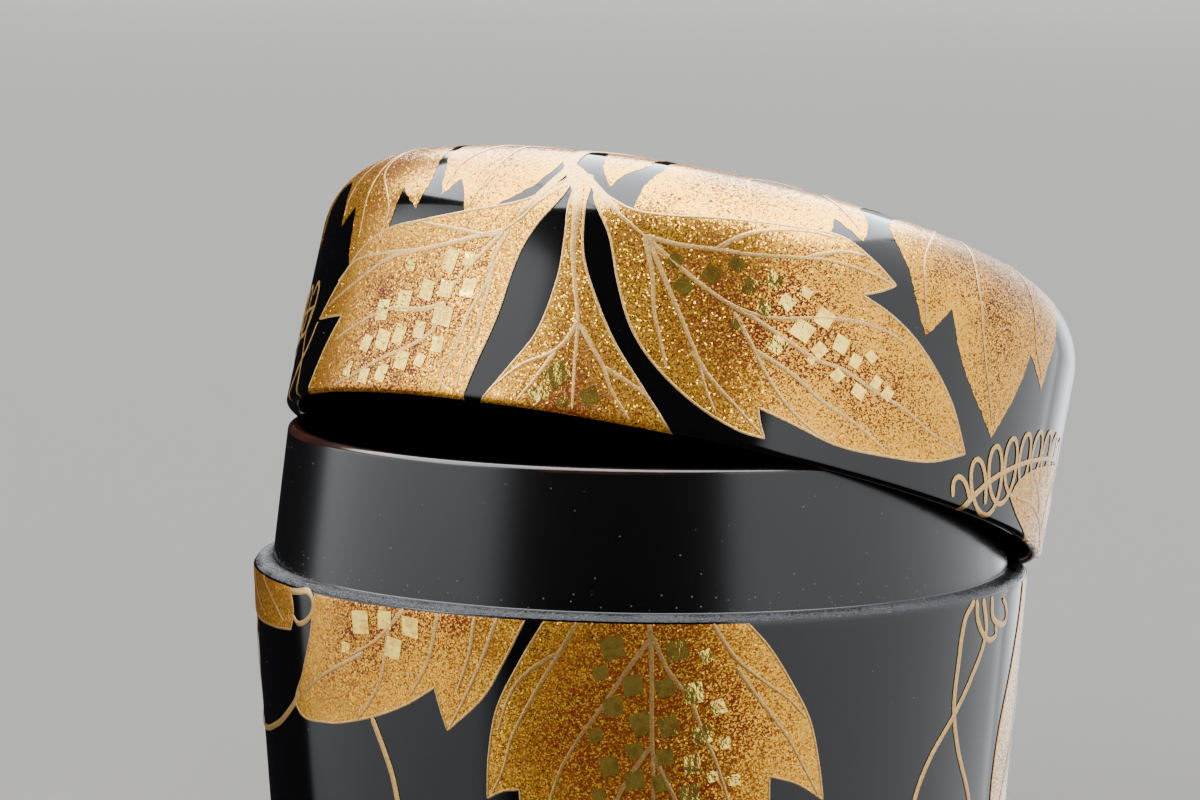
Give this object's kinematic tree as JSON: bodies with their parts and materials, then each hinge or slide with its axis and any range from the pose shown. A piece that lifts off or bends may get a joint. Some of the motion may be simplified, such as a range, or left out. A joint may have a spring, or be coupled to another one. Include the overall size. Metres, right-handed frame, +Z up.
{
  "type": "lacquer tea caddy",
  "caption": "Round lacquered tea caddy with a hollow bowl-shaped body, an upright neck, and a domed lift-off lid lying askew across the neck.",
  "frame": {"origin": "centre of the flat underside of the body", "axes": "+Z up along the body's axis; the picture looks along +Y with +X to the right, and the lid leans towards +X+Y"},
  "size_m": [0.0702, 0.0713, 0.0772],
  "materials": {
    "body_lacquer": "turned wood under polished black lacquer",
    "lid_lacquer": "turned wood under polished black lacquer",
    "sprinkled_gold": "gold powder sprinkled over orange-red lacquer, flush with the black",
    "gold_line": "fine painted lines dusted with pale gold powder",
    "cut_gold": "small squares of cut gold foil laid in the lacquer"
  },
  "bodies": {
    "root": {"caddy_body": "body_lacquer", "lid": "lid_lacquer"}
  },
  "joints": []
}
